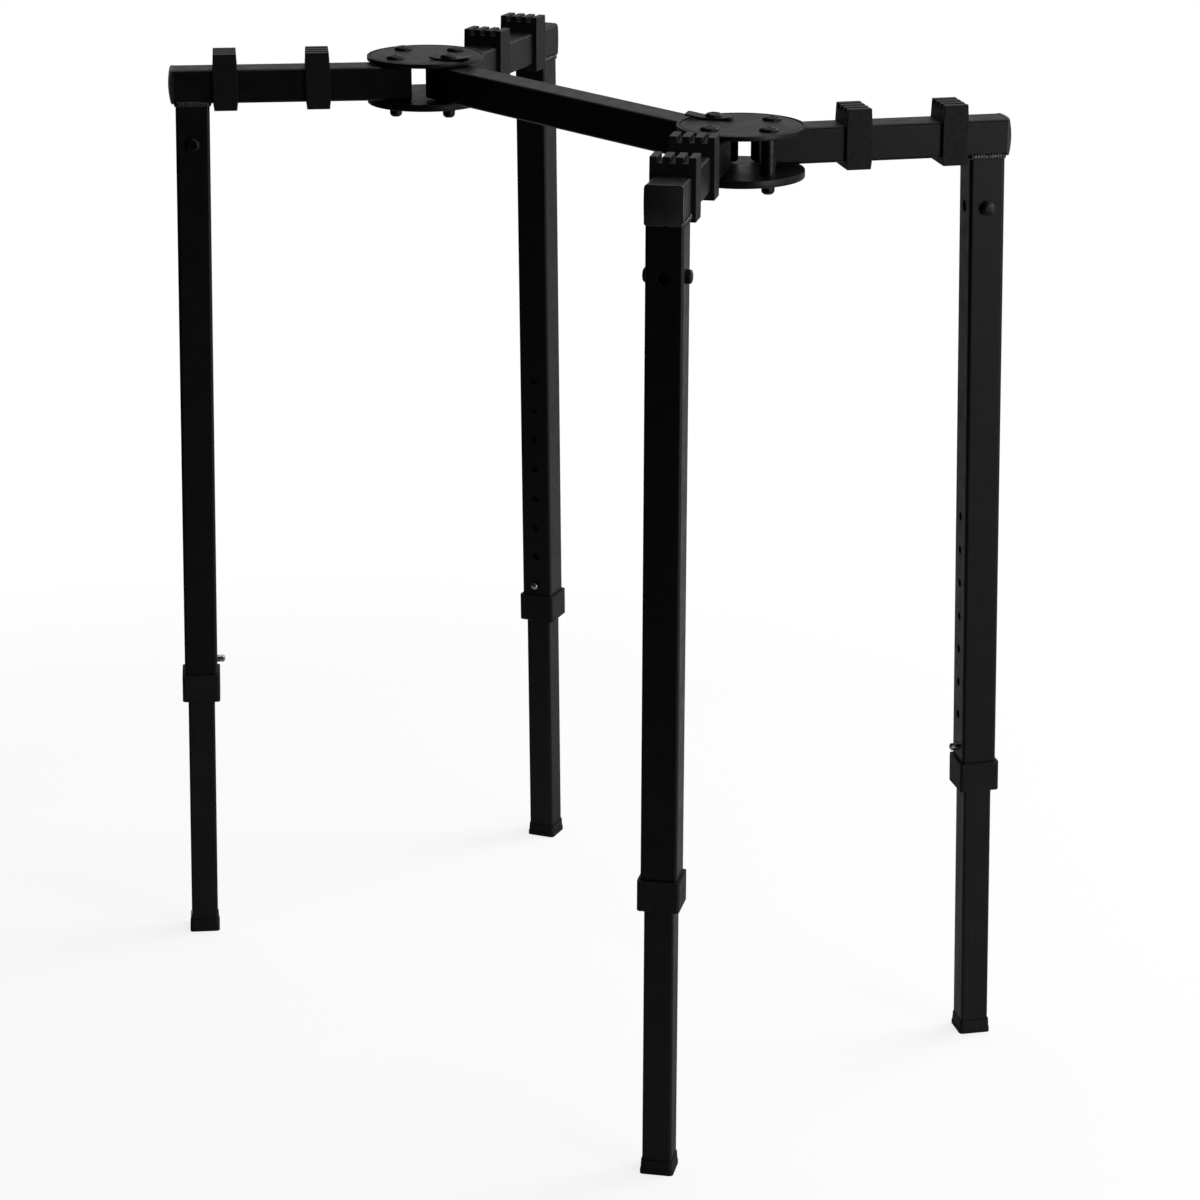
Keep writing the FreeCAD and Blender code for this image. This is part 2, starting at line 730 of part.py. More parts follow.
def make_collar(arm):
    """A plastic sleeve on the outer leg's lower end that closes in round the inner leg."""
    body = new_body()
    height = "collar_drop + collar_rise"
    pad(body, square_sketch(body, "XY_Plane", "tube_side + 2 * collar_wall", COLLAR_BOTTOM), height)
    round_edges(body, "tube_corner_round", lambda edge: edge_runs(edge, UP))
    seat = square_sketch(body, "XY_Plane", "tube_side + 2 * collar_fit", "leg_tube_end_height - weld_gap")
    pocket(body, seat, f"2 * ({height})", upwards=True)
    throat = square_sketch(body, "XY_Plane", "inner_side + 2 * slide_gap", f"{COLLAR_BOTTOM} - overrun")
    pocket(body, throat, f"2 * ({height})", upwards=True)
    bottom = value("leg_tube_end_height") - value("collar_drop")
    rim = value("tube_side") / 2
    round_edges(body, "collar_edge_round", lambda edge: is_rim(edge, bottom, rim))
    keep(body, f"{arm}_collar", leg_frame(arm))


# Inner legs

def inner_top(arm):
    """The inner tube's upper end: at full travel its guide plug stops short of the cross bolt."""
    travel = "travel_pitches * lock_pitch"
    return f"(tube_top_height - cross_bolt_drop - shank_radius - stop_gap - {travel} - guide_flange_thickness)"


def make_inner_leg(arm):
    start = "(foot_sole + foot_fit)"
    tube = ("inner_side", "inner_wall", "inner_corner_round")
    body = square_tube("XY_Plane", FreeCAD.Vector(0, 0, 1), *tube, start, f"({inner_top(arm)} - {start})")
    pocket(body, circle_sketch(body, "YZ_Plane", "button_radius + button_fit", along=LOCK_HEIGHT), "inner_side")
    keep(body, f"{arm}_inner_leg", leg_frame(arm))


def make_guide_plug(arm):
    """A plastic plug in the inner tube's upper end; its flange keeps the tube centred in the outer leg."""
    body = new_body()
    flange_side = "tube_side - 2 * tube_wall - 2 * plug_clearance"
    pad(body, square_sketch(body, "XY_Plane", flange_side, inner_top(arm)), "guide_flange_thickness")
    round_edges(body, "tube_corner_round - tube_wall", lambda edge: edge_runs(edge, UP))
    tube = ("inner_side", "inner_wall", "inner_corner_round")
    hollow_plug(body, "XY_Plane", UP, tube, "guide_plug_wall", "guide_plug_depth", inner_top(arm))
    keep(body, f"{arm}_guide_plug", leg_frame(arm))


def make_snap_button(arm):
    """A steel button with a flange inside the inner tube's wall; its tip stands out of the outer leg."""
    flange_x = "-(inner_side / 2 - inner_wall - running_gap)"
    tip_x = "-(tube_side / 2 + button_reach)"
    where = {"z": LOCK_HEIGHT, "turn": ALONG_MINUS_X}
    flange_start = f"{flange_x} + button_flange_thickness"
    flange = cylinder("button_flange_radius", "button_flange_thickness", x=flange_start, **where)
    stem = cylinder("button_radius", f"-({tip_x}) + {flange_x}", x=flange_x, **where)
    rounding = sphere("button_tip_radius", x=f"{tip_x} + button_tip_radius", z=LOCK_HEIGHT)
    back = cylinder("button_radius", f"-({tip_x}) + {flange_x} - button_tip_radius", x=flange_x, **where)
    tip = common(stem, rounding)
    keep(fuse(flange, back, tip), f"{arm}_snap_button", leg_frame(arm))


def make_button_spring(arm):
    """A V of spring strip inside the inner tube: one leg behind the button, the other on the far wall."""
    inner_half = value("inner_side") / 2 - value("inner_wall")
    leaf = value("spring_leaf")
    gap = value("spring_gap")
    near = -inner_half + value("running_gap") + value("button_flange_thickness") + gap
    far = inner_half - gap
    pad_half = value("spring_pad_half")
    rise = value("spring_rise")
    outline = [
        (near, -pad_half), (near, pad_half), (-leaf, rise), (leaf, rise), (far, -pad_half),
        (far - leaf, -pad_half), (0, rise - 2 * leaf), (near + leaf, pad_half), (near + leaf, -pad_half),
    ]
    spring = doc.addObject("Part::Feature", "spring")
    spring.Shape = bent_strip(outline, value("spring_width"))
    height = value("leg_tube_end_height") + value("lowest_lock_rise")
    lift = FreeCAD.Placement(FreeCAD.Vector(0, 0, height), NO_TURN)
    keep(spring, f"{arm}_button_spring", leg_frame(arm).multiply(lift))


def make_foot(arm):
    """A rubber foot that stays level under the leaning leg: a flange and a skirt that narrows upwards."""
    body = new_body()
    pad(body, square_sketch(body, "XY_Plane", "foot_side"), "foot_flange_height")
    skirt_side = "(foot_side - 2 * foot_shoulder_inset)"
    rim_side = "(inner_side + 2 * foot_fit + 2 * foot_rim_wall)"
    skirt_height = "(foot_height - foot_flange_height)"
    skirt = pad(body, square_sketch(body, "XY_Plane", skirt_side, "foot_flange_height"), skirt_height)
    bind(skirt, TaperAngle=f"-atan(({skirt_side} - {rim_side}) / (2 * {skirt_height}))")
    settle(skirt, body)
    round_edges(body, "foot_corner_round", lambda edge: edge.BoundBox.ZLength > value("foot_sole") / 2)
    socket = square_sketch(body, "XY_Plane", "inner_side + 2 * foot_fit", "foot_sole")
    pocket(body, socket, "foot_height", upwards=True)
    keep(body, f"{arm}_foot", along_arm(arm, foot_offset()))


make_beam()
make_hub_plates()
make_washers()
make_pivot_sleeves()
make_spacer_posts()
make_hub_bolts()
make_dome_nuts()
for hub_side in ("left", "right"):
    make_wing(hub_side)
for arm_name in ARMS:
    make_arm_tube(arm_name)
    make_arm_cap(arm_name)
    make_grips(arm_name)
    make_leg_tube(arm_name)
    make_cross_bolt(arm_name)
    make_collar(arm_name)
    make_inner_leg(arm_name)
    make_guide_plug(arm_name)
    make_snap_button(arm_name)
    make_button_spring(arm_name)
    make_foot(arm_name)
doc.recompute()

for thing in doc.Objects:
    if {"Invalid", "Error"} & set(thing.State):
        raise ValueError(f"{thing.Label} failed: {thing.State}")
for piece in pieces:
    if piece.Shape.isNull() or not piece.Shape.isValid():
        raise ValueError(f"{piece.Label} has no valid shape")

os.makedirs("parts", exist_ok=True)
for piece in pieces:
    piece.Shape.exportStep(f"parts/{piece.Label}.step")
    print(piece.Label, len(piece.Shape.Solids), round(piece.Shape.Volume, 1))

whole = FreeCAD.BoundBox()
for piece in pieces:
    whole.add(piece.Shape.BoundBox)
print("size", round(whole.XLength, 1), round(whole.YLength, 1), round(whole.ZLength, 1))
print("middle", round(whole.Center.x, 2), round(whole.Center.y, 2), "lowest", round(whole.ZMin, 3))
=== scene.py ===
# %% [markdown]
# # A folding keyboard stand
# The real stand is square steel tube under a satin black powder coat. A beam joins two round hubs, each hub
# carries two arms that swing, and each arm carries a leg that telescopes and locks with a snap button.
# The solids come from CAD as a fixed frame, already at real size and in place, so nothing here fits or moves
# them. This lesson gives them light, a camera and finishes, and swaps the small hardware for finer pieces.

# %% Load the frame
import json
import math

import bmesh
import bpy
from mathutils import Matrix, Vector, noise


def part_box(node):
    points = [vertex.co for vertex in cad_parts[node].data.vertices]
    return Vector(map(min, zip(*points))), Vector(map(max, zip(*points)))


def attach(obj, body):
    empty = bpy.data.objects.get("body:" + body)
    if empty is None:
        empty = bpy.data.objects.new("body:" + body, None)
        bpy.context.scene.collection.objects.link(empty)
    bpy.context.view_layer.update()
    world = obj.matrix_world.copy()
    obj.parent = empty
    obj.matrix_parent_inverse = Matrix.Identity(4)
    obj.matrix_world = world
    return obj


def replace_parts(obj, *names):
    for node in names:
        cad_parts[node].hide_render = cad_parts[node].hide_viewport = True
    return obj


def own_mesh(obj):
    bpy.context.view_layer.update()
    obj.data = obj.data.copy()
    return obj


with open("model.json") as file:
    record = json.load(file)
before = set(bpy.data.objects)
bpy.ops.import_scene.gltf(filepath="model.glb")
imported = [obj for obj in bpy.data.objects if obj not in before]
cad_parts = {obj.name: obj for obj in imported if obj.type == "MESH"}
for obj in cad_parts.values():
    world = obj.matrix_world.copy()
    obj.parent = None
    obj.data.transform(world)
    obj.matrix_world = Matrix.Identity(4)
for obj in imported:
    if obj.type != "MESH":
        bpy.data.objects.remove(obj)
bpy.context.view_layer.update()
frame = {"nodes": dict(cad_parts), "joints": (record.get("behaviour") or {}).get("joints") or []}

nodes = frame["nodes"]
joints = {joint["name"]: joint for joint in frame["joints"]}
MM = 0.001
ARMS = ("left", "rear", "front", "right")
SIDES = ("left", "right")

# %% [markdown]
# ## Camera
# A product photograph like this one is taken from a few metres away with a long lens, which keeps upright
# tubes nearly parallel. The place and the lens were found by fitting the stand's corners to the picture.
# The camera is aimed with a rotation that is built from its line of sight, with no tilt to the side.

# %% Camera
SENSOR_WIDTH = 36.0
LENS = 110.38
CAMERA_PLACE = (3.0571, -2.4804, 1.7626)
LINE_OF_SIGHT = Vector((-0.73531, 0.60132, -0.31262))


def new_object(name, data):
    """Puts data in the scene as an object."""
    thing = bpy.data.objects.new(name, data)
    bpy.context.scene.collection.objects.link(thing)
    return thing


def aim(thing, place, direction):
    """Puts a camera or a lamp at a place and points it."""
    thing.location = place
    thing.rotation_euler = direction.to_track_quat("-Z", "Y").to_euler()


camera_data = bpy.data.cameras.new("camera")
camera_data.sensor_width = SENSOR_WIDTH
camera_data.lens = LENS
camera = new_object("camera", camera_data)
aim(camera, CAMERA_PLACE, LINE_OF_SIGHT)
bpy.context.scene.camera = camera
bpy.context.scene.view_settings.view_transform = "Standard"
print("camera", CAMERA_PLACE)

# %% [markdown]
# ## Node helpers
# Every material below is a small tree of shader nodes. One function adds a node: it takes the sockets that
# are set or linked, and the node's own settings. Colours are written as sRGB hex values, as a paint shop
# would give them, and one function turns them to the linear values that the renderer works in.

# %% Node helpers
def linear(hex_colour):
    """An sRGB hex colour as linear RGBA."""
    channels = [int(hex_colour[i:i + 2], 16) / 255 for i in (1, 3, 5)]
    return [c / 12.92 if c <= 0.04045 else ((c + 0.055) / 1.055) ** 2.4 for c in channels] + [1.0]


def add_node(tree, kind, sockets=None, **settings):
    """Adds a node. Sockets are given by name or number: an output socket is linked, anything else is set."""
    node = tree.nodes.new(kind)
    for name, setting in settings.items():
        setattr(node, name, setting)
    for name, source in (sockets or {}).items():
        if isinstance(source, bpy.types.NodeSocket):
            tree.links.new(source, node.inputs[name])
        else:
            node.inputs[name].default_value = source
    return node


def compute(tree, operation, first, second, **settings):
    """A sum, a product or another result of two numbers."""
    return add_node(tree, "ShaderNodeMath", {0: first, 1: second}, operation=operation, **settings).outputs[0]


def mix_values(tree, factor, first, second):
    """A number between two others."""
    return add_node(tree, "ShaderNodeMix", {"Factor": factor, "A": first, "B": second}).outputs["Result"]


def empty_tree(owner):
    """The owner's node tree, with nothing in it."""
    owner.use_nodes = True
    owner.node_tree.nodes.clear()
    return owner.node_tree


print("black as linear", [round(c, 4) for c in linear("#161617")[:3]])

# %% [markdown]
# ## Studio
# The picture has a pure white background, and the steel is black, so the light has to come from one side:
# faces towards the upper right and the back are grey, and faces towards the left stay nearly black. Three
# soft lamps do that: a big one high at the back right, one low to the right of the camera, and one overhead.
#
# Satin steel also mirrors what stands round it. The world is given a glow for glossy rays, which rises
# smoothly towards one bright side, and a weaker share of it fills in the shadows. The white that the camera
# sees is made with the Light Path node, which tells what kind of ray asks.

# %% World
BRIGHT_SIDE = Vector((0.10, 0.98, -0.20)).normalized()
BRIGHT_GLOW = 0.40
DARK_GLOW = 0.012
SKY_GLOW_STARTS, SKY_GLOW_FULL = -0.45, 0.3
FILL = 0.8


def side_glow(tree, place, starts, full):
    """The light that glossy rays find. It rises towards the bright side, from one place to another."""
    towards = add_node(tree, "ShaderNodeVectorMath", {0: place, 1: BRIGHT_SIDE}, operation="DOT_PRODUCT")
    return add_node(tree, "ShaderNodeMapRange", {
        "Value": towards.outputs["Value"], "From Min": starts, "From Max": full,
        "To Min": DARK_GLOW, "To Max": BRIGHT_GLOW,
    }, interpolation_type="SMOOTHSTEP").outputs["Result"]


world = bpy.data.worlds.new("studio")
bpy.context.scene.world = world
tree = empty_tree(world)
rays = add_node(tree, "ShaderNodeLightPath").outputs
direction = add_node(tree, "ShaderNodeTexCoord").outputs["Generated"]
glow = side_glow(tree, direction, SKY_GLOW_STARTS, SKY_GLOW_FULL)
light = mix_values(tree, rays["Is Glossy Ray"], compute(tree, "MULTIPLY", glow, FILL), glow)
seen = compute(tree, "MAXIMUM", rays["Is Camera Ray"], rays["Is Transmission Ray"])
strength = mix_values(tree, seen, light, 1.0)
background = add_node(tree, "ShaderNodeBackground", {"Color": linear("#ffffff"), "Strength": strength})
add_node(tree, "ShaderNodeOutputWorld", {"Surface": background.outputs[0]})
print("world", world.name)

# %% Lamps
LAMP_TARGET = Vector((0, 0, 0.6))
LAMPS = {
    "back_right_lamp": {"place": (0.9, 3.6, 2.9), "size": (2.4, 2.4), "watts": 70},
    "right_lamp": {"place": (4.0, 0.7, 1.1), "size": (1.6, 2.0), "watts": 36},
    "top_lamp": {"place": (-0.3, 0.4, 4.2), "size": (2.5, 2.5), "watts": 26},
}


def soft_lamp(name, place, size, watts):
    """A rectangular lamp that looks at the middle of the stand."""
    data = bpy.data.lights.new(name, "AREA")
    data.shape = "RECTANGLE"
    data.size, data.size_y = size
    data.energy = watts
    aim(new_object(name, data), place, LAMP_TARGET - Vector(place))


for name, lamp in LAMPS.items():
    soft_lamp(name, **lamp)
print("lamps", list(LAMPS))

# %% [markdown]
# ## Floor
# The floor is plain and pale. Near the stand part of its white is seen light, through the camera ray, and
# part is a real matt surface, so the feet still throw a soft shadow. Far away it is all seen light, so it
# runs into the white background with no edge. The tubes mirror it too, and there it glows like the world.

# %% Floor
FLOOR_SIZE = 40.0
FADE_STARTS, FADE_ENDS = 1.0, 3.0
FLOOR_GLOW_STARTS, FLOOR_GLOW_FULL = -1.1, 2.0
SEEN_NEAR = 0.81

mesh = bpy.data.meshes.new("floor")
bm = bmesh.new()
bmesh.ops.create_grid(bm, x_segments=1, y_segments=1, size=FLOOR_SIZE / 2)
bm.to_mesh(mesh)
bm.free()
floor = new_object("floor", mesh)

paper = bpy.data.materials.new("white_studio_floor")
mesh.materials.append(paper)
tree = empty_tree(paper)
rays = add_node(tree, "ShaderNodeLightPath").outputs
place = add_node(tree, "ShaderNodeTexCoord").outputs["Object"]
distance = add_node(tree, "ShaderNodeVectorMath", {0: place}, operation="LENGTH").outputs["Value"]
far = add_node(tree, "ShaderNodeMapRange", {
    "Value": distance, "From Min": FADE_STARTS, "From Max": FADE_ENDS,
}, interpolation_type="SMOOTHSTEP").outputs["Result"]
glow = side_glow(tree, place, FLOOR_GLOW_STARTS, FLOOR_GLOW_FULL)
mirrored = compute(tree, "MULTIPLY", rays["Is Glossy Ray"], glow)
seen = compute(tree, "MAXIMUM", rays["Is Camera Ray"], rays["Is Transmission Ray"])
seen = compute(tree, "MAXIMUM", seen, mirrored)
share = add_node(tree, "ShaderNodeMapRange", {"Value": far, "To Min": SEEN_NEAR, "To Max": 1.0})
seen_near = compute(tree, "MULTIPLY", seen, share.outputs["Result"])
white = add_node(tree, "ShaderNodeEmission", {"Color": linear("#ffffff"), "Strength": seen_near})
matt = add_node(tree, "ShaderNodeBsdfDiffuse", {"Color": linear("#9a9a9a")})
near = add_node(tree, "ShaderNodeAddShader", {0: white.outputs[0], 1: matt.outputs[0]})
away = add_node(tree, "ShaderNodeEmission", {"Color": linear("#ffffff"), "Strength": seen})
whole = add_node(tree, "ShaderNodeMixShader", {"Fac": far, 1: near.outputs[0], 2: away.outputs[0]})
add_node(tree, "ShaderNodeOutputMaterial", {"Surface": whole.outputs[0]})
print("floor", FLOOR_SIZE, "m wide")

# %% [markdown]
# ## Finishes
# Black on white leaves little but gloss and grain to tell one surface from the next, so each finish gets its
# own roughness, grain and slight change of tone. The same few nodes serve them all: noise in the object's own
# coordinates, whose scale is worked out from a size in millimetres, drives tone, roughness and bump.

# %% Grain from a size
def grain(tree, size_mm, detail=2.0, roughness=0.5, stretch=(1, 1, 1)):
    """Noise whose blotches are about size_mm across on the real object."""
    place = add_node(tree, "ShaderNodeTexCoord").outputs["Object"]
    turned = add_node(tree, "ShaderNodeMapping", {"Vector": place, "Scale": stretch})
    return add_node(tree, "ShaderNodeTexNoise", {
        "Vector": turned.outputs[0], "Scale": 1 / (size_mm * MM), "Detail": detail, "Roughness": roughness,
    }).outputs["Fac"]


def spread(tree, value, low, high, start=0.3, end=0.7):
    """Maps a range of a value to another range. As it stands, it takes the middle of a noise."""
    return add_node(tree, "ShaderNodeMapRange", {
        "Value": value, "From Min": start, "From Max": end, "To Min": low, "To Max": high,
    }).outputs["Result"]


def drift(tree, low, high, size_mm, **how):
    """A number that drifts between two limits, in patches of a size."""
    return spread(tree, grain(tree, size_mm, **how), low, high)


def bump(tree, height, depth_mm, normal=None):
    """A bump of a real depth, on top of another one if its normal is given."""
    sockets = {"Height": height, "Distance": depth_mm * MM, "Strength": 1.0}
    if normal is not None:
        sockets["Normal"] = normal
    return add_node(tree, "ShaderNodeBump", sockets).outputs[0]


print("grain of 2 mm has scale", 1 / (2 * MM))

# %% [markdown]
# Colours work the same way. The outer edges are painted lighter, in patches: partly wear where a piece is
# handled, partly a painted highlight for the light that a rounded edge catches. An edge is found by comparing
# the surface's normal with a rounded-off one: they differ near an edge alone.

# %% Colours
EDGE_MATCH, FLAT_MATCH = 0.86, 0.99
RUBBED_AND_HIGHLIT_PATCH_MM = 9.0


def blend_colours(tree, factor, first, second):
    """Mixes two colours; each is a hex value or a socket."""
    first = linear(first) if isinstance(first, str) else first
    second = linear(second) if isinstance(second, str) else second
    mix = add_node(tree, "ShaderNodeMix", {"Factor": factor, 6: first, 7: second}, data_type="RGBA")
    return mix.outputs[2]


def two_tones(tree, dark, light, size_mm, **how):
    """A colour that drifts between two tones, in patches of a size."""
    return blend_colours(tree, drift(tree, 0.0, 1.0, size_mm, **how), dark, light)


def rub_and_highlight_edges(tree, tone, rubbed_and_highlit, width_mm, amount):
    """Blends a lighter colour into a tone along the outer edges: wear, and a painted edge highlight."""
    rounded = add_node(tree, "ShaderNodeBevel", {"Radius": width_mm * MM}, samples=4).outputs[0]
    plain = add_node(tree, "ShaderNodeNewGeometry").outputs["Normal"]
    match = add_node(tree, "ShaderNodeVectorMath", {0: rounded, 1: plain}, operation="DOT_PRODUCT")
    # The lighter edge colour is partly wear and partly a painted highlight.
    edge = spread(tree, match.outputs["Value"], amount, 0.0, start=EDGE_MATCH, end=FLAT_MATCH)
    patchy = spread(tree, grain(tree, RUBBED_AND_HIGHLIT_PATCH_MM), 0.25, 1.0, start=0.4, end=0.6)
    return blend_colours(tree, compute(tree, "MULTIPLY", edge, patchy, use_clamp=True), tone, rubbed_and_highlit)


def new_finish(name, constants):
    """A material with a Principled surface. The constants go straight on its sockets."""
    material = bpy.data.materials.new(name)
    tree = empty_tree(material)
    shader = add_node(tree, "ShaderNodeBsdfPrincipled", constants)
    add_node(tree, "ShaderNodeOutputMaterial", {"Surface": shader.outputs[0]})
    return material, tree, shader


def drive(tree, shader, colour, roughness, normal):
    """Links what changes over the surface."""
    for socket, source in (("Base Color", colour), ("Roughness", roughness), ("Normal", normal)):
        tree.links.new(source, shader.inputs[socket])


print("an edge is rubbed in patches of", RUBBED_AND_HIGHLIT_PATCH_MM, "mm")

# %% [markdown]
# ### Satin black powder coat
# Powder is sprayed on dry and melts in an oven, so it levels into a soft orange peel of about 1.5 mm, with a
# satin gloss that drifts a little from place to place. Edges are painted lighter: partly wear where they rub
# when the stand is folded, partly a painted highlight for the light that the rounded edges catch.
# The peel is drawn at 2.2 mm, because at its real size it is finer than a pixel. Over a weld bead the powder
# runs thinner, so the bead is smoother and glossier; its coat is also painted a lighter grey, a painted
# highlight for the light that the lumpy bead catches.

# %% Powder coat
powder_coat, tree, shader = new_finish("satin_black_powder_coat", {"IOR": 1.5, "Specular IOR Level": 0.32})
tone = two_tones(tree, "#0b0b0c", "#111112", size_mm=38.0, detail=4.0)
# Wear and a painted highlight: the outer edges are painted a lighter grey.
tone = rub_and_highlight_edges(tree, tone, "#3b3b3c", width_mm=0.9, amount=0.5)
gloss = drift(tree, 0.36, 0.47, size_mm=16.0, detail=3.0)
peel = bump(tree, grain(tree, 2.2, detail=1.0), depth_mm=0.05)
fine_peel = bump(tree, grain(tree, 0.9, detail=1.0), depth_mm=0.012, normal=peel)
drive(tree, shader, tone, gloss, fine_peel)

# Painted highlight: the bead's coat is painted a lighter grey than the powder coat, for the light the bead
# catches.
highlit_weld_coat, tree, shader = new_finish("black_coat_on_weld_painted_highlight", {"IOR": 1.5, "Specular IOR Level": 0.75})
tone = two_tones(tree, "#1c1c1d", "#2a2a2b", size_mm=4.0)
gloss = drift(tree, 0.28, 0.4, size_mm=3.0)
drive(tree, shader, tone, gloss, bump(tree, grain(tree, 1.0, detail=1.0), depth_mm=0.01))
print(powder_coat.name, highlit_weld_coat.name)

# %% [markdown]
# ### Dipped black coat
# The inner legs have to slide, so they are dipped instead: a thinner, smoother and slightly greyer coat, with
# faint upright streaks where the collars rub. Noise that is stretched upwards draws the streaks.

# %% Dipped coat
dipped_coat, tree, shader = new_finish("dipped_black_coat", {"IOR": 1.5, "Specular IOR Level": 0.26})
tone = two_tones(tree, "#19191a", "#212122", size_mm=30.0, detail=3.0)
streaks = spread(tree, grain(tree, 5.0, stretch=(1, 1, 0.03)), 0.0, 0.35, start=0.5, end=0.75)
tone = blend_colours(tree, streaks, tone, "#2c2c2d")
gloss = drift(tree, 0.36, 0.48, size_mm=12.0, detail=3.0, stretch=(1, 1, 0.1))
drive(tree, shader, tone, gloss, bump(tree, grain(tree, 1.6), depth_mm=0.015))
print(dipped_coat.name)

# %% [markdown]
# ### Black oxide steel
# Bolts, nuts and washers are steel that was blackened in a hot salt bath. The coat is thin, so it still acts
# like metal: dark when seen straight on, bright at a glancing angle, and grey along the edges, partly where
# tools and fingers rub it and partly as a painted highlight.

# %% Black oxide
black_oxide, tree, shader = new_finish("black_oxide_steel", {"Metallic": 1.0})
tone = two_tones(tree, "#2b2b2b", "#3a3a39", size_mm=5.0, detail=3.0)
# Wear and a painted highlight: the edges are painted grey.
tone = rub_and_highlight_edges(tree, tone, "#6a6968", width_mm=0.5, amount=0.6)
gloss = drift(tree, 0.3, 0.46, size_mm=3.0, detail=3.0)
drive(tree, shader, tone, gloss, bump(tree, grain(tree, 1.2), depth_mm=0.015))
print(black_oxide.name)

# %% [markdown]
# ### Moulded black plastic
# The collars are injection-moulded nylon. The steel mould is spark-eroded, which leaves a fine, even grain of
# about 0.3 mm and a flat sheen. The grain is drawn at 1.1 mm so that it can be seen. The end caps come from a
# smoother mould, in polypropylene, so they are glossier.

# %% Plastic
plastic, tree, shader = new_finish("moulded_black_nylon", {"IOR": 1.53, "Specular IOR Level": 0.17})
tone = two_tones(tree, "#202021", "#2a2a2b", size_mm=22.0, detail=3.0)
# Wear and a painted highlight: the outer edges are painted lighter.
tone = rub_and_highlight_edges(tree, tone, "#38383a", width_mm=0.7, amount=0.35)
gloss = drift(tree, 0.46, 0.58, size_mm=9.0)
spark_grain = grain(tree, 1.1, detail=3.0, roughness=0.7)
drive(tree, shader, tone, gloss, bump(tree, spark_grain, depth_mm=0.035))

glossy = {"IOR": 1.5, "Specular IOR Level": 0.75}
glossy_plastic, tree, shader = new_finish("glossy_black_polypropylene", glossy)
tone = two_tones(tree, "#222223", "#2b2b2c", size_mm=14.0, detail=3.0)
# Wear and a painted highlight: the outer edges are painted lighter.
tone = rub_and_highlight_edges(tree, tone, "#38383a", width_mm=0.7, amount=0.35)
gloss = drift(tree, 0.34, 0.46, size_mm=6.0)
drive(tree, shader, tone, gloss, bump(tree, grain(tree, 1.6, roughness=0.6), depth_mm=0.02))
print(plastic.name, glossy_plastic.name)

# %% [markdown]
# ### Black rubber
# The grip sleeves and the feet are rubber. It is soft, so its gloss is low and broad, with a faint dusty
# bloom. Instruments slide over the tops of the grips and polish them, and the grooves between stay dull: the
# height on the object tells the two apart.

# %% Rubber
GRIP_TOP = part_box("left_grips")[1].z
POLISH_STARTS, POLISH_FULL = GRIP_TOP - 1.2 * MM, GRIP_TOP - 0.3 * MM
POLISHED_ROUGHNESS = 0.42

rubber, tree, shader = new_finish("black_rubber", {"IOR": 1.52, "Specular IOR Level": 0.34})
bloom = spread(tree, grain(tree, 13.0, detail=5.0, roughness=0.65), 0.0, 1.0, start=0.45, end=0.75)
tone = blend_colours(tree, bloom, "#0c0c0c", "#151515")
# Wear and a painted highlight: the outer edges are painted lighter.
tone = rub_and_highlight_edges(tree, tone, "#333333", width_mm=0.8, amount=0.4)
place = add_node(tree, "ShaderNodeTexCoord").outputs["Object"]
height = add_node(tree, "ShaderNodeSeparateXYZ", {0: place}).outputs["Z"]
polish = spread(tree, height, 0.0, 1.0, start=POLISH_STARTS, end=POLISH_FULL)
gloss = mix_values(tree, polish, drift(tree, 0.56, 0.7, size_mm=7.0, detail=3.0), POLISHED_ROUGHNESS)
skin = grain(tree, 0.9, detail=4.0, roughness=0.7)
drive(tree, shader, tone, gloss, bump(tree, skin, depth_mm=0.04))
print(rubber.name)

# %% [markdown]
# ### Steel
# The snap buttons are nickel-plated and bright, with a faint fine grain. Sleeves, springs and other hidden
# steel is plain and a little dull.

# %% Steel
bright_steel, tree, shader = new_finish("nickel_plated_steel", {"Metallic": 1.0})
tone = two_tones(tree, "#b9b7b3", "#d2d0cc", size_mm=2.5, detail=3.0)
gloss = drift(tree, 0.16, 0.3, size_mm=1.5)
drive(tree, shader, tone, gloss, bump(tree, grain(tree, 0.8), depth_mm=0.008))

plain_steel, tree, shader = new_finish("plain_steel", {"Metallic": 1.0})
tone = two_tones(tree, "#807f7d", "#9b9a97", size_mm=6.0, detail=4.0)
gloss = drift(tree, 0.34, 0.5, size_mm=2.0, detail=3.0)
drive(tree, shader, tone, gloss, bump(tree, grain(tree, 1.0, stretch=(1, 1, 0.1)), depth_mm=0.01))
print(bright_steel.name, plain_steel.name)

# %% [markdown]
# ## Finishes on the solids
# The last word of a solid's name says what it is, so a short table gives each kind its finish. The solid
# keeps its mesh, and only the material in its slots changes.

# %% Give each solid its finish
FINISHES = {
    powder_coat: ("beam", "plate", "tube", "lever"),
    dipped_coat: ("leg",),
    black_oxide: ("bolt", "bolts", "nuts", "washers", "posts"),
    plastic: ("collar", "plug"),
    glossy_plastic: ("cap",),
    rubber: ("grips", "foot"),
    bright_steel: ("button",),
    plain_steel: ("sleeves", "spring"),
}
finish_of = {word: material for material, words in FINISHES.items() for word in words}
for name, solid in nodes.items():
    for material_slot in solid.material_slots:
        material_slot.material = finish_of[name.rsplit("_", 1)[-1]]
print({material.name: len(words) for material, words in FINISHES.items()})

# %% [markdown]
# ## A home for new pieces
# Each new piece is made in a bmesh at its final place, in metres. One function makes it an object, keeps
# edges sharp where faces meet at more than a set angle, and lets it ride on the body that carries it. Others
# say where an arm points, and turn a piece that was made upright.

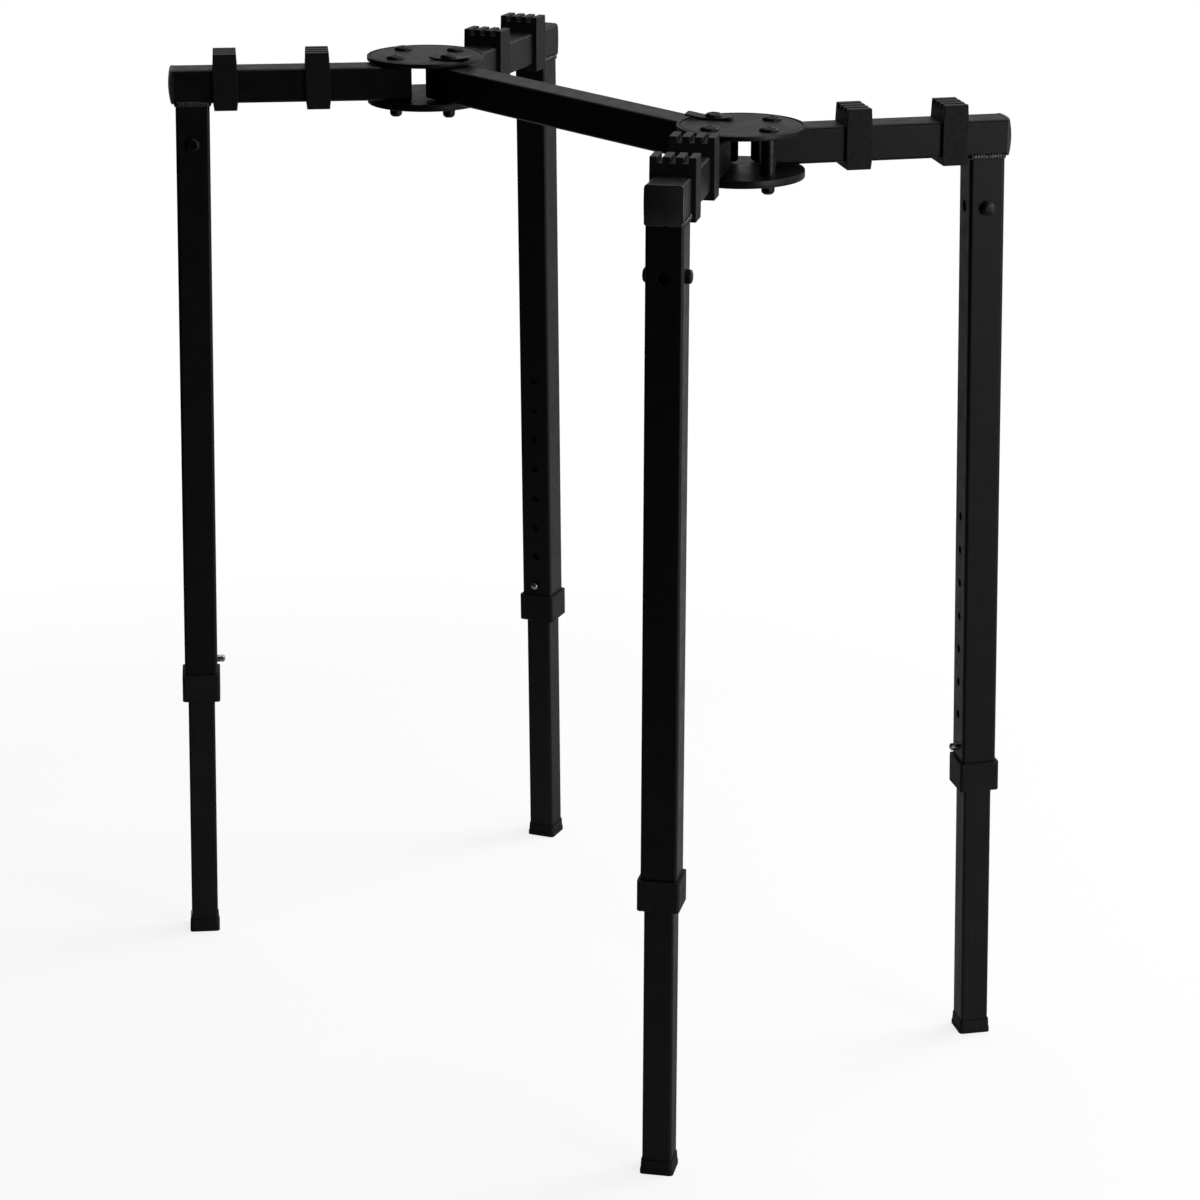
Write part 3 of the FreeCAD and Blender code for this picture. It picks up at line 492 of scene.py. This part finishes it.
# %% New piece
def add_piece(name, bm, material, body, sharp=35.0):
    """Makes a bmesh a piece of the stand. Edges past the sharp angle, in degrees, aren't smoothed over."""
    bmesh.ops.remove_doubles(bm, verts=bm.verts, dist=0.001 * MM)
    bmesh.ops.recalc_face_normals(bm, faces=bm.faces)
    mesh = bpy.data.meshes.new(name)
    bm.to_mesh(mesh)
    bm.free()
    mesh.shade_smooth()
    mesh.set_sharp_from_angle(angle=math.radians(sharp))
    mesh.materials.append(material)
    piece = new_object(name, mesh)
    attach(piece, body)
    print(name, len(mesh.polygons), "faces")
    return piece


def arm_axes(arm):
    """The arm's direction on the level, the direction across it, and a point on its pivot."""
    inwards = Vector(joints[f"{arm}_button_press"]["axis"])
    along = Vector((inwards.x, inwards.y, 0)).normalized()
    across = Vector((0, 0, 1)).cross(along)
    return along, across, Vector(joints[f"{arm}_arm_fold"]["pos_m"])


def facing(direction):
    """A turn that points an upright piece along a direction."""
    return direction.to_track_quat("Z", "Y").to_matrix().to_4x4()


def standing(point, height_mm, turn=0.0):
    """A matrix that puts a piece upright on a height."""
    return Matrix.Translation((point.x, point.y, height_mm * MM)) @ Matrix.Rotation(turn, 4, "Z")


def hanging(point, height_mm, turn=0.0):
    """The same, upside down."""
    return standing(point, height_mm, turn) @ Matrix.Rotation(math.pi, 4, "X")


print("left arm points", [round(c, 3) for c in arm_axes("left")[0]])

# %% [markdown]
# ## Weld beads
# Each leg is welded under its arm. A welder lays a row of small overlapping puddles, so the bead has curved
# ripples about 3 mm apart, and the powder coat covers it. Here a round section is spun into a ring, and the
# ring is then pressed onto the outline of the square tube while ripples swell and pinch it. A slow noise
# makes the bead wander a little, as a hand does. Lengths are in millimetres.

# %% The outline of the tube
TUBE_HALF = 19.0
TUBE_CORNER = 3.5


def square_path(share):
    """The point and the outward direction at a share of the way round a square with rounded corners."""
    straight = 2 * (TUBE_HALF - TUBE_CORNER)
    corner = math.pi / 2 * TUBE_CORNER
    side, rest = divmod(share % 1.0 * 4 * (straight + corner), straight + corner)
    if rest < straight:
        point, outwards = Vector((TUBE_HALF, rest - straight / 2)), Vector((1, 0))
    else:
        turn = (rest - straight) / TUBE_CORNER
        outwards = Vector((math.cos(turn), math.sin(turn)))
        point = Vector((straight / 2, straight / 2)) + outwards * TUBE_CORNER
    quarter = Matrix.Rotation(side * math.pi / 2, 2)
    return quarter @ point, quarter @ outwards


print("the outline starts at", tuple(square_path(0.0)[0]))

# %% Weld beads
ARM_REACH = 228.2
WELD_HEIGHT = 1002.7
BEAD_RADIUS = 2.8
BEAD_FLATNESS = 0.6
RIPPLE_PITCH = 3.2
RIPPLE_SWELL = 0.4
RIPPLE_CURVE = 0.12
WANDER = 0.35
WANDER_RATE = 23.0
WANDER_PER_ARM = 7.0
RING_RADIUS = 30.0
RING_STEPS = 320
SECTION_POINTS = 10


def bead_ring():
    """A round section spun into a ring, before it is pressed to the tube."""
    bm = bmesh.new()
    section = Matrix.Translation((RING_RADIUS, 0, 0)) @ Matrix.Rotation(math.pi / 2, 4, "X")
    made = bmesh.ops.create_circle(bm, segments=SECTION_POINTS, radius=BEAD_RADIUS, matrix=section)
    edges = list({edge for vert in made["verts"] for edge in vert.link_edges})
    bmesh.ops.spin(bm, geom=made["verts"] + edges, cent=(0, 0, 0), axis=(0, 0, 1), angle=2 * math.pi,
                   steps=RING_STEPS, use_merge=True)
    return bm


def weld_bead(arm):
    """The bead round the top of one leg."""
    along, across, pivot = arm_axes(arm)
    centre = pivot + along * ARM_REACH * MM
    ripples = round(8 * TUBE_HALF / RIPPLE_PITCH)
    bm = bead_ring()
    for vert in bm.verts:
        share = math.atan2(vert.co.y, vert.co.x) / (2 * math.pi)
        out = math.hypot(vert.co.x, vert.co.y) - RING_RADIUS
        phase = (share * ripples - RIPPLE_CURVE * abs(vert.co.z)) % 1.0
        wander = WANDER * noise.noise(Vector((share * WANDER_RATE, ARMS.index(arm) * WANDER_PER_ARM, 0.0)))
        swell = 1.0 + RIPPLE_SWELL * (0.5 - phase) + wander
        point, outwards = square_path(share)
        point = point + outwards * out * swell * BEAD_FLATNESS
        place = centre + (along * point.x + across * point.y) * MM
        vert.co = (place.x, place.y, (WELD_HEIGHT + wander + vert.co.z * swell) * MM)
    return add_piece(f"{arm}_weld_bead", bm, highlit_weld_coat, f"{arm}_arm", sharp=50.0)


for arm in ARMS:
    weld_bead(arm)

# %% [markdown]
# ## Bolt heads and nuts
# All of the hardware is round or six-sided, so one tool makes it: rings of 48 points that are joined one to
# the next, like hoops of a barrel. A ring is round, or is pressed to a hexagon, and a chamfer lowers a
# hexagon's corners the way a lathe cuts them off a nut. Heights and radii are in millimetres.

# %% Rings
HOOP_POINTS = 48


def hoop(bm, kind, radius, height, chamfer=0.0):
    """A ring of points. A hexagon's radius goes to its corners, and a chamfer lowers them."""
    made = bmesh.ops.create_circle(bm, segments=HOOP_POINTS, radius=1.0)
    flat = radius * math.cos(math.pi / 6)
    for vert in made["verts"]:
        angle = math.atan2(vert.co.x, vert.co.y)
        reach = flat / math.cos(angle % (math.pi / 3) - math.pi / 6) if kind == "hex" else radius
        drop = chamfer * max(0.0, reach - flat)
        vert.co = Vector((reach * math.sin(angle), reach * math.cos(angle), height - drop))
    return list({edge for vert in made["verts"] for edge in vert.link_edges})


def barrel(bm, hoops, place):
    """Joins rings into a closed skin, then puts it in place. The place is a matrix in metres."""
    before = set(bm.verts)
    rings = [hoop(bm, *one) for one in hoops]
    for lower, upper in zip(rings, rings[1:]):
        bmesh.ops.bridge_loops(bm, edges=lower + upper)
    for end in (rings[0], rings[-1]):
        bmesh.ops.edgeloop_fill(bm, edges=end)
    fresh = [vert for vert in bm.verts if vert not in before]
    bmesh.ops.transform(bm, matrix=place @ Matrix.Scale(MM, 4), verts=fresh)


def dome_hoops(radius, height, top, base=0.0, steps=8, rim=0.25):
    """Rings of a low dome: an upright rim, then an arc in to the radius top."""
    hoops = [("round", radius, base), ("round", radius, base + rim * height)]
    for step in range(1, steps + 1):
        turn = math.pi / 2 * step / steps
        hoops.append(("round", top + (radius - top) * math.cos(turn),
                      base + height * (rim + (1 - rim) * math.sin(turn))))
    return hoops


def button_head(radius, height, socket=2.9, depth=2.0):
    """A low round head. Its hexagon socket has a land round it, and ends in the cone that the drill left."""
    foot = [("round", radius - 0.25, 0.0)]
    dome = dome_hoops(radius, height, socket + 0.9, base=0.15)[:-1]
    land = [("round", socket + 0.7, height), ("round", socket + 0.25, height)]
    walls = [("hex", socket, height - 0.3), ("hex", socket, height - depth)]
    return foot + dome + land + walls + [("round", 0.4, height - depth - 0.6)]


print(len(button_head(10, 3.9)), "rings in a bolt head")

# %% [markdown]
# The two hubs are clamped by eight M8 bolts. Six have plain button heads, and the two at the beam's ends
# carry the wing levers. Below the bottom plates every bolt ends in a dome nut.

# %% Hub bolts and nuts
PLATE_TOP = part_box("left_top_plate")[1].z / MM
PLATE_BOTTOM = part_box("left_bottom_plate")[0].z / MM
SHANK_RADIUS = 4.0
SHANK_END = PLATE_BOTTOM - 4.0
HUB_HEAD_RADIUS, HUB_HEAD_HEIGHT = 10.0, 3.9
DOME_NUT = [("hex", 7.2, 0.0), ("hex", 7.5, 0.3), ("hex", 7.5, 7.8, 0.58)]
DOME_NUT += [("round", 7.0, 8.1)] + dome_hoops(6.9, 6.75, 2.6, base=8.2, rim=0.35)


def hub_points(side):
    """The bolts round a hub, in metres: beam, both arms and the spacer post."""
    low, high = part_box(f"{side}_top_plate")
    middle = (low + high) / 2
    beam = Vector(joints[f"{side}_wing_turn"]["pos_m"])
    out = Vector((beam.x - middle.x, beam.y - middle.y, 0))
    side_step = Vector((-out.y, out.x, 0))
    centre = Vector((middle.x, middle.y, 0))
    return {
        "beam": centre + out, "arm_1": centre + side_step,
        "arm_2": centre - side_step, "post": centre - out,
    }


def add_shank(bm, point, top_mm):
    """A bolt's shank, from inside its nut up to a height."""
    shank = [("round", SHANK_RADIUS, 0.0), ("round", SHANK_RADIUS, top_mm - SHANK_END)]
    barrel(bm, shank, standing(point, SHANK_END))


print("top plates end at", round(PLATE_TOP, 2), "mm, bottom plates at", round(PLATE_BOTTOM, 2), "mm")

# %% [markdown]
# Nobody tightens bolts to the same angle, so the hexagons of a hub are turned differently.

# %% Bolt heads and nuts
TURNS = {"beam": 0.2, "arm_1": 0.75, "arm_2": 0.4, "post": 0.95}

heads = bmesh.new()
nuts = bmesh.new()
hub_head = button_head(HUB_HEAD_RADIUS, HUB_HEAD_HEIGHT)
for side in SIDES:
    for name, point in hub_points(side).items():
        if name != "beam":
            barrel(heads, hub_head, standing(point, PLATE_TOP, TURNS[name]))
            add_shank(heads, point, PLATE_TOP)
        barrel(nuts, DOME_NUT, hanging(point, PLATE_BOTTOM, TURNS[name]))
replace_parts(add_piece("hub_bolt_heads", heads, black_oxide, "hub_frame"), "hub_bolts")
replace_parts(add_piece("hub_dome_nuts", nuts, black_oxide, "hub_frame"), "dome_nuts")

# %% [markdown]
# ## Hub plates
# The plates are pressed from sheet. The die leaves a rim round the top plate with a shallow groove inside it,
# which shows as a dark crescent at the plate's left end. A bottom plate has a skirt instead, which hides the
# upper part of the nuts. The edge is drawn once as a short line, from the underside out and up to the face,
# and spun round. Both faces are then filled round the four bolt holes.

# %% Plate edges and holes
PLATE_SHEET = 5.0
PLATE_STEPS = 160
HOLE_RADIUS = 4.5
LEVEL_TOLERANCE = 0.01
GROOVED_EDGE = [(65.6, 0.0), (66.2, 0.2), (66.4, 0.7), (66.4, 4.3), (66.2, 4.8), (65.7, 5.0), (64.4, 5.0)]
GROOVED_EDGE += [(64.0, 4.8), (63.8, 3.8), (63.4, 3.6), (61.4, 4.7), (60.6, 5.0), (60.0, 5.0)]
SKIRT_EDGE = [(63.2, 0.0), (63.8, 0.0), (64.0, -2.4), (64.6, -2.9), (65.6, -2.9), (66.2, -2.5)]
SKIRT_EDGE += [(66.4, -1.8), (66.4, 4.3), (66.2, 4.8), (65.7, 5.0), (65.0, 5.0)]


def bolt_hole(bm, x, y):
    """The wall of a hole through a plate. The faces round it come later."""
    before = set(bm.verts)
    rings = hoop(bm, "round", HOLE_RADIUS, 0.0) + hoop(bm, "round", HOLE_RADIUS, PLATE_SHEET)
    bmesh.ops.bridge_loops(bm, edges=rings)
    fresh = [vert for vert in bm.verts if vert not in before]
    bmesh.ops.translate(bm, verts=fresh, vec=(x, y, 0))


def fill_face(bm, height):
    """Fills everything between the loose edges at one height."""
    ends = [edge for edge in bm.edges
            if edge.is_boundary and abs(edge.verts[0].co.z - height) < LEVEL_TOLERANCE]
    bmesh.ops.triangle_fill(bm, edges=ends, use_beauty=True)


print("plates are", 2 * max(radius for radius, height in GROOVED_EDGE), "mm wide")

# %% Hub plates
def hub_plate(side, level, edge_line):
    """One plate of a hub. Its edge line holds pairs of a radius and a height."""
    low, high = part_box(f"{side}_{level}_plate")
    middle = (low + high) / 2
    bm = bmesh.new()
    line = [bm.verts.new((radius, 0, height)) for radius, height in edge_line]
    line += [bm.edges.new(pair) for pair in zip(line, line[1:])]
    bmesh.ops.spin(bm, geom=line, cent=(0, 0, 0), axis=(0, 0, 1), angle=2 * math.pi, steps=PLATE_STEPS,
                   use_merge=True)
    for point in hub_points(side).values():
        step = (point - middle) / MM
        bolt_hole(bm, step.x, step.y)
    fill_face(bm, 0.0)
    fill_face(bm, PLATE_SHEET)
    bmesh.ops.transform(bm, matrix=standing(middle, low.z / MM) @ Matrix.Scale(MM, 4), verts=bm.verts)
    plate = add_piece(f"{side}_{level}_disc", bm, powder_coat, "hub_frame")
    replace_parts(plate, f"{side}_{level}_plate")


for side in SIDES:
    hub_plate(side, "top", GROOVED_EDGE)
    hub_plate(side, "bottom", SKIRT_EDGE)

# %% [markdown]
# ## Wing levers
# A wing lever is a stamped strip of 2.2 mm steel. It reaches farther towards the beam's middle than to the
# other side, and both ends are bent up a little for the fingers. It starts as a flat grid: the corners are
# rounded, the ends are lifted on a soft bend, the sheet is given its thickness, and the stamped edges get a
# small round. A button head clamps it, on a bolt that goes through both plates.

# %% The wing's bend and place
WING_TURNS = {"left": 31.0, "right": 217.0}
WING_SHORT, WING_LONG, WING_WIDTH, WING_SHEET = 20.0, 29.0, 20.0, 2.2
WING_SLOPE = math.tan(math.radians(10.0))
WING_FLAT = 9.3
BEND_LENGTH = 4.0
WING_CORNER = 3.0
STAMPED_ROUND = 0.45
STAMPED_ANGLE = math.radians(60)
WING_SEAT = PLATE_TOP + 0.1
WING_HEAD_RADIUS, WING_HEAD_HEIGHT = 9.0, 3.8


def wing_lift(across):
    """How high the strip is at a distance from its middle, with a soft bend where the flat ends."""
    past = max(0.0, abs(across) - WING_FLAT)
    bent = past * past / (2 * BEND_LENGTH) if past < BEND_LENGTH else past - BEND_LENGTH / 2
    return WING_SLOPE * bent


def wing_place(side, height_mm):
    """Where a wing's pieces stand: on the beam's bolt, turned as in the picture."""
    return standing(hub_points(side)["beam"], height_mm, math.radians(WING_TURNS[side]))


print("the long end rises", round(wing_lift(WING_LONG), 2), "mm")

# %% Wing levers
def wing_strip(side):
    """The bent strip that the fingers turn."""
    bm = bmesh.new()
    shape = Matrix.Translation(((WING_LONG - WING_SHORT) / 2, 0, 0))
    shape = shape @ Matrix.Diagonal(((WING_LONG + WING_SHORT) / 2, WING_WIDTH / 2, 1, 1))
    bmesh.ops.create_grid(bm, x_segments=24, y_segments=4, size=1.0, matrix=shape)
    corners = [vert for vert in bm.verts if len(vert.link_edges) == 2]
    bmesh.ops.bevel(bm, geom=corners, offset=WING_CORNER, segments=6, profile=0.5, affect="VERTICES",
                    material=-1)
    for vert in bm.verts:
        vert.co.z = wing_lift(vert.co.x)
    made = bmesh.ops.extrude_face_region(bm, geom=list(bm.faces))
    lifted = [item for item in made["geom"] if isinstance(item, bmesh.types.BMVert)]
    bmesh.ops.translate(bm, verts=lifted, vec=(0, 0, WING_SHEET))
    bmesh.ops.recalc_face_normals(bm, faces=bm.faces)
    rims = [edge for edge in bm.edges if len(edge.link_faces) == 2 and edge.calc_face_angle() > STAMPED_ANGLE]
    bmesh.ops.bevel(bm, geom=rims, offset=STAMPED_ROUND, segments=3, profile=0.5, affect="EDGES", material=-1)
    bmesh.ops.transform(bm, matrix=wing_place(side, WING_SEAT) @ Matrix.Scale(MM, 4), verts=bm.verts)
    lever = add_piece(f"{side}_wing_strip", bm, powder_coat, f"{side}_wing")
    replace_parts(lever, f"{side}_wing_lever")


def wing_head(side):
    """The clamp bolt that turns with the strip."""
    bm = bmesh.new()
    barrel(bm, button_head(WING_HEAD_RADIUS, WING_HEAD_HEIGHT), wing_place(side, WING_SEAT + WING_SHEET))
    add_shank(bm, hub_points(side)["beam"], WING_SEAT + WING_SHEET)
    head = add_piece(f"{side}_wing_head", bm, black_oxide, f"{side}_wing")
    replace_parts(head, f"{side}_clamp_bolt")


for side in SIDES:
    wing_strip(side)
    wing_head(side)

# %% [markdown]
# ## Cross bolts
# A bolt goes across the top of each leg. One end is a button head, and the other is a low cap nut with six
# flats. Both stand out of the leg's side faces, and which side has the nut changes from leg to leg.

# %% Cross bolts
NUT_SIDE = {"left": -1, "rear": 1, "front": 1, "right": -1}
CROSS_HEAD = 8.0
CROSS_HEAD_HEIGHT = 5.0
CROSS_SOCKET_DEPTH = 2.6
CROSS_TURN = 0.3
SHANK_IN_HEAD = 0.5
CAP_FLATS = 4.2
CAP_NUT = [("hex", CROSS_HEAD - 0.3, 0.0), ("hex", CROSS_HEAD, 0.3), ("hex", CROSS_HEAD, CAP_FLATS, 0.5)]
CAP_NUT += dome_hoops(CROSS_HEAD * 0.84, 1.8, 2.0, base=CAP_FLATS, steps=6, rim=0.1)


def cross_bolt(arm):
    """The bolt across the top of one leg, with a head at one end and a nut at the other."""
    across = arm_axes(arm)[1]
    low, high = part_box(f"{arm}_cross_bolt")
    middle = (low + high) / 2
    head = button_head(CROSS_HEAD, CROSS_HEAD_HEIGHT, depth=CROSS_SOCKET_DEPTH)
    bm = bmesh.new()
    for side in (-1, 1):
        out = across * side
        place = Matrix.Translation(middle + out * TUBE_HALF * MM) @ facing(out)
        barrel(bm, CAP_NUT if side == NUT_SIDE[arm] else head, place @ Matrix.Rotation(CROSS_TURN, 4, "Z"))
    reach = TUBE_HALF + SHANK_IN_HEAD
    shank = [("round", SHANK_RADIUS, -reach), ("round", SHANK_RADIUS, reach)]
    barrel(bm, shank, Matrix.Translation(middle) @ facing(across))
    piece = add_piece(f"{arm}_leg_bolt", bm, black_oxide, f"{arm}_arm")
    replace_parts(piece, f"{arm}_cross_bolt")


for arm in ARMS:
    cross_bolt(arm)

# %% [markdown]
# ## Button springs
# A V of spring strip inside each inner leg pushes the snap button out. It is hidden, and on the real stand it
# gives way when the button is pressed, which a solid from CAD can't do. Here the solid's mesh is copied into
# a piece of its own that rides on the inner leg, and the copy doesn't bend either.

# %% Button springs
for arm in ARMS:
    press = joints[f"{arm}_button_press"]
    inwards = Vector(press["axis"])
    bm = bmesh.new()
    bm.from_mesh(nodes[f"{arm}_button_spring"].data)
    near = min(vert.co.dot(inwards) for vert in bm.verts)
    far_point = max((vert.co for vert in bm.verts), key=inwards.dot).copy()
    spring = add_piece(f"{arm}_spring_strip", bm, plain_steel, f"{arm}_lower_leg")
    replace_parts(spring, f"{arm}_button_spring")
    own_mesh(spring)
